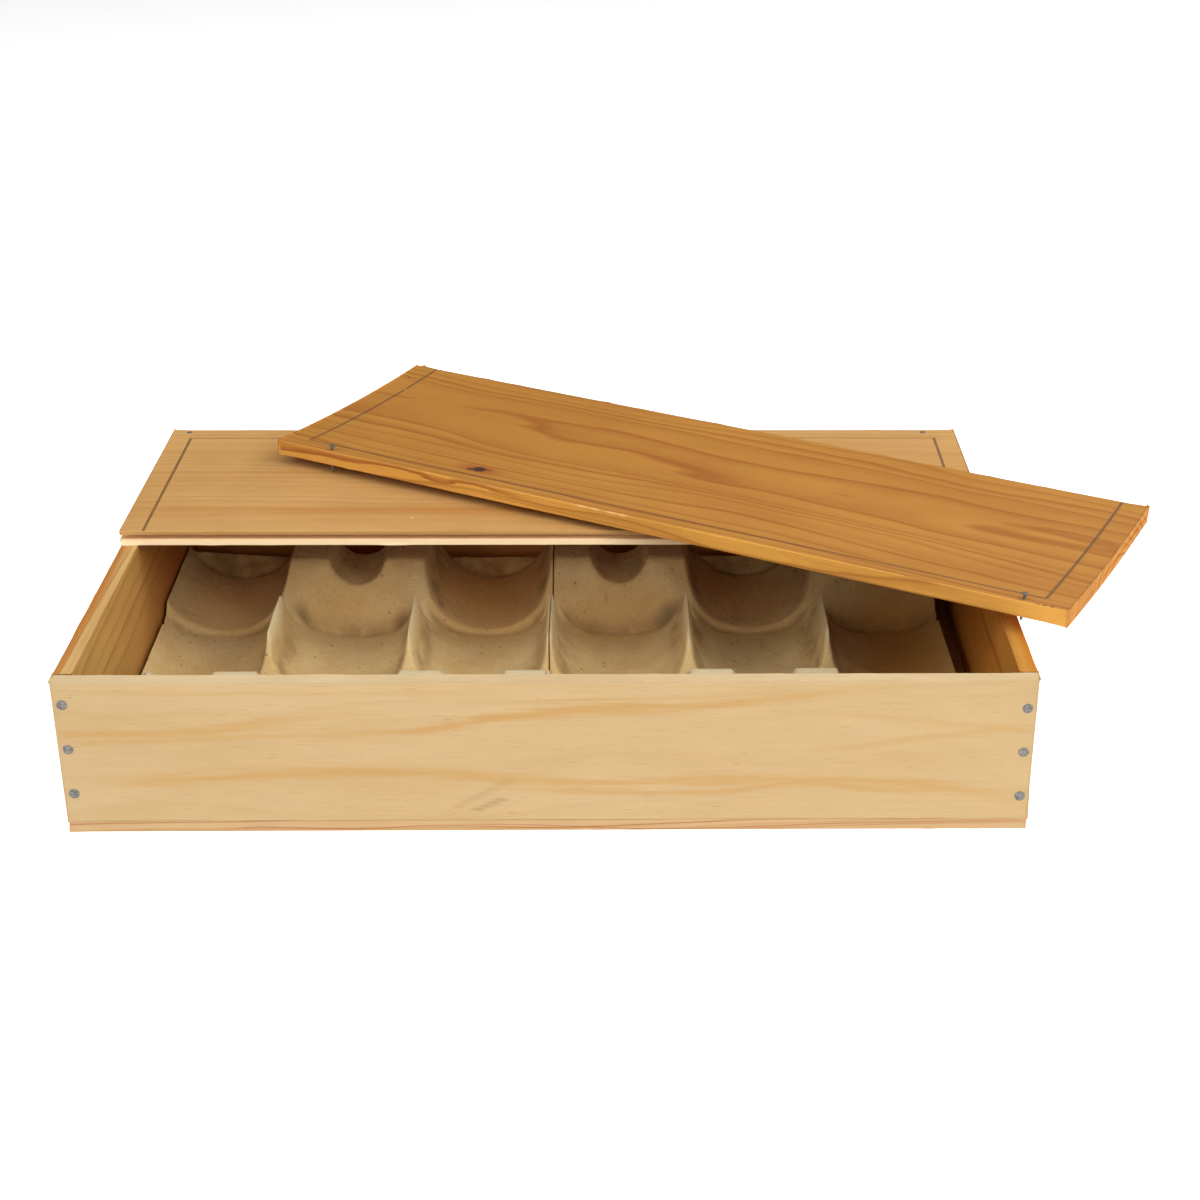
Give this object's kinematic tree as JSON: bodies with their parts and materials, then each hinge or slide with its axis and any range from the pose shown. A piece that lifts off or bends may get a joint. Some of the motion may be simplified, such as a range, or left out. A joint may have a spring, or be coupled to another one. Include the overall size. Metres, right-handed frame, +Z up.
{
  "type": "wooden bottle crate",
  "caption": "Flat pine crate with moulded pulp trays for bottles laid head to tail, half its lid nailed down and the other board prised off and laid askew on top.",
  "frame": {"origin": "centre of the crate's underside", "axes": "+X along the length to the right as seen from the front, +Y to the rear, +Z up through the lid"},
  "size_m": [0.5945, 0.4152, 0.1172],
  "materials": {
    "bottom_front_board": "sawn",
    "bottom_rear_board": "sawn",
    "front_board": "planed",
    "rear_board": "planed",
    "left_end_board": "planed",
    "right_end_board": "planed",
    "lid_rear_board": "planed",
    "lid_loose_board": "planed",
    "pulp_tray_left": "matt moulded pulp",
    "pulp_tray_right": "matt moulded pulp",
    "front_nails": "dull zinc",
    "rear_nails": "dull zinc",
    "bottom_nails": "dull zinc",
    "lid_nails": "dull zinc",
    "loose_nails": "dull zinc"
  },
  "bodies": {
    "root": {"bottom_front_board": "bottom_front_board", "bottom_rear_board": "bottom_rear_board", "front_board": "front_board", "rear_board": "rear_board", "left_end_board": "left_end_board", "right_end_board": "right_end_board", "lid_rear_board": "lid_rear_board", "lid_loose_board": "lid_loose_board", "pulp_tray_left": "pulp_tray_left", "pulp_tray_right": "pulp_tray_right", "front_nails": "front_nails", "rear_nails": "rear_nails", "bottom_nails": "bottom_nails", "lid_nails": "lid_nails", "loose_nails": "loose_nails"}
  },
  "joints": []
}
